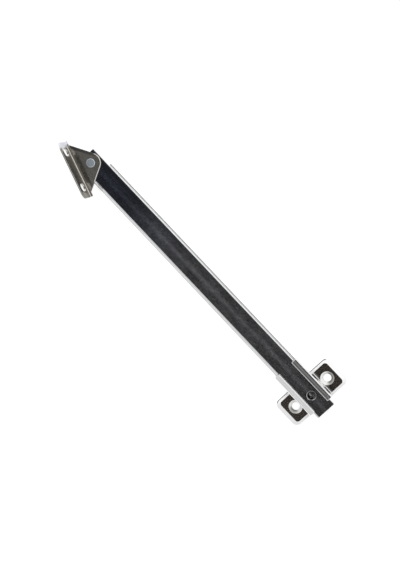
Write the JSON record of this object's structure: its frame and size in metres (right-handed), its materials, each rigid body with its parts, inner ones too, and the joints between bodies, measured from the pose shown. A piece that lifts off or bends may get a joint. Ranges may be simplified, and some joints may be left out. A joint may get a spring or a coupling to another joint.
{
  "type": "lid stay",
  "caption": "Telescopic lid stay: nested folded steel rails between a wing base plate with countersunk holes and a riveted lid bracket with an angled foot",
  "frame": {"origin": "the base pivot's axis where it meets the mounting face of the base plate", "axes": "+X runs along the rails from the base pivot to the lid bracket, +Z points away from the mounting surface, +Y completes the right-handed frame"},
  "size_m": [0.3086, 0.0598, 0.0304],
  "materials": {
    "rail_steel": "polished stainless sheet",
    "bracket_steel": "satin stainless sheet",
    "rivet_steel": "turned stainless rivet",
    "spring_steel": "blued spring steel",
    "nylon": "natural moulded nylon"
  },
  "bodies": {
    "mount": {"base_plate": "rail_steel", "base_pivot_rivet": "rivet_steel"},
    "arm": {"base_pivot_washer": "nylon", "base_head_washer": "rivet_steel", "pivot_clamp": "rail_steel", "outer_rail": "rail_steel", "mouth_shoe": "nylon", "mouth_shoe_rivet": "rivet_steel", "middle_shoe": "nylon", "middle_shoe_rivet": "rivet_steel", "lock_spring": "spring_steel", "lock_spring_rivet": "rivet_steel"},
    "slider": {"inner_rail": "rail_steel", "tail_plug": "nylon", "lid_pivot_rivet": "rivet_steel", "lid_backing_washer": "rivet_steel"},
    "lid_end": {"lid_bracket": "bracket_steel", "lid_pivot_washer": "nylon"}
  },
  "joints": [
    {"name": "base_pivot", "type": "hinge", "parent": "mount", "child": "arm", "pos_m": [0, 0, 0.0043], "axis": [0, 0, 1], "range_deg": [-90, 90]},
    {"name": "rail_slide", "type": "slide", "parent": "arm", "child": "slider", "axis": [1, 0, 0], "range_m": [0, 0.2]},
    {"name": "lid_pivot", "type": "hinge", "parent": "slider", "child": "lid_end", "pos_m": [0.262, 0, 0.0124], "axis": [0, 0, 1], "range_deg": [-102, 18]}
  ]
}
